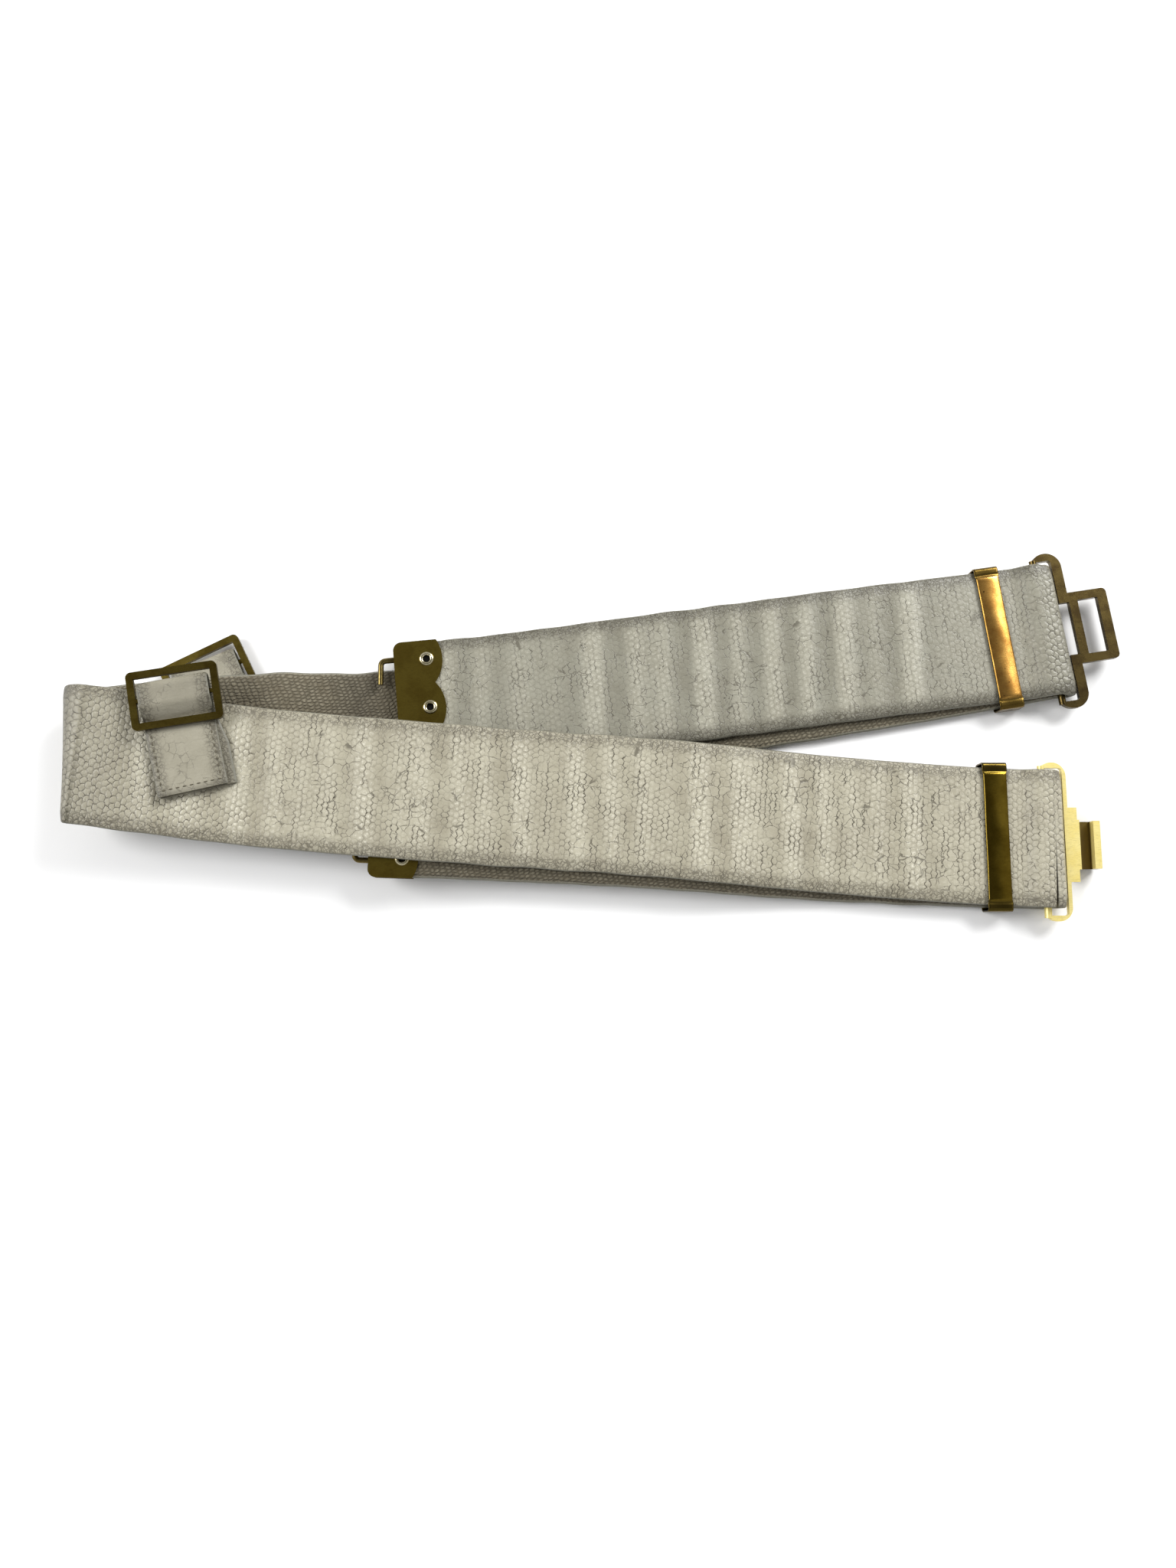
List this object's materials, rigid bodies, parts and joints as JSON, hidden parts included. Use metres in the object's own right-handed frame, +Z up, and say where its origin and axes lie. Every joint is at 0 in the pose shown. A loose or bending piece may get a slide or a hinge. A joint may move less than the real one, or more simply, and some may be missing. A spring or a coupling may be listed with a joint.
{
  "type": "folded webbing waist belt with brass hook and loop clasps",
  "caption": "Painted webbing waist belt with a brass hook clasp and loop clasp, keepers, riveted brass tips with wire hooks and two sewn buckles, folded and laid flat.",
  "frame": {"origin": "on the table under the middle of the laid-down belt's footprint", "axes": "+X along the belt from the fold towards the clasps, +Y across it towards the loop clasp, +Z up from the table"},
  "size_m": [0.4426, 0.1566, 0.0297],
  "materials": {
    "webbing": "cracked off-white paint over cotton webbing",
    "webbing_inner": "bare woven cotton, inner face",
    "chape": "worn off-white cotton webbing",
    "thread": "waxed sewing thread",
    "tip_brass": "olive brown tarnished sheet",
    "wire_brass": "dark tarnished wire",
    "eyelet": "silvery worn brass",
    "keeper_copper": "polished copper gold with spots",
    "keeper_olive": "olive brass with a bright worn edge",
    "clasp_bronze": "dark bronze",
    "clasp_gold": "bright yellow brass",
    "buckle_brass": "olive tarnished brass"
  },
  "bodies": {
    "belt": {"webbing_rear": "webbing", "webbing_front": "webbing", "webbing_end_a": "webbing", "webbing_end_b": "webbing", "tip_plate_a": "tip_brass", "tip_plate_b": "tip_brass", "tip_hooks_a": "wire_brass", "tip_hooks_b": "wire_brass", "eyelet_a1": "eyelet", "eyelet_a2": "eyelet", "eyelet_a3": "eyelet", "eyelet_b1": "eyelet", "eyelet_b2": "eyelet", "eyelet_b3": "eyelet", "chape_front": "chape", "chape_rear": "chape"},
    "keeper_a_body": {"keeper_a": "keeper_copper"},
    "keeper_b_body": {"keeper_b": "keeper_olive"},
    "clasp_loop_body": {"clasp_loop": "clasp_bronze"},
    "clasp_hook_body": {"clasp_hook": "clasp_gold"},
    "buckle_front_body": {"buckle_front": "buckle_brass"},
    "buckle_rear_body": {"buckle_rear": "buckle_brass"}
  },
  "joints": [
    {"name": "keeper_a_slide", "type": "slide", "parent": "belt", "child": "keeper_a_body", "axis": [0.9888, 0.1495, 0], "range_m": [-0.008, 0.003]},
    {"name": "keeper_b_slide", "type": "slide", "parent": "belt", "child": "keeper_b_body", "axis": [0.9994, -0.0349, 0], "range_m": [-0.008, 0.003]},
    {"name": "clasp_loop_swing", "type": "hinge", "parent": "belt", "child": "clasp_loop_body", "pos_m": [0.19168, 0.04385, 0.0061], "axis": [0.1547, -0.988, 0], "range_deg": [-90, 90]},
    {"name": "clasp_hook_swing", "type": "hinge", "parent": "belt", "child": "clasp_hook_body", "pos_m": [0.18558, -0.04525, 0.0061], "axis": [0, -1, 0], "range_deg": [-90, 90]},
    {"name": "buckle_front_tilt", "type": "hinge", "parent": "belt", "child": "buckle_front_body", "pos_m": [-0.17117, 0.0121, 0.0255], "axis": [-0.9802, -0.1779, 0.0869], "range_deg": [0, 28]},
    {"name": "buckle_rear_tilt", "type": "hinge", "parent": "belt", "child": "buckle_rear_body", "pos_m": [-0.16497, 0.02535, 0.00315], "axis": [0.8949, 0.4462, 0], "range_deg": [0, 33]}
  ]
}
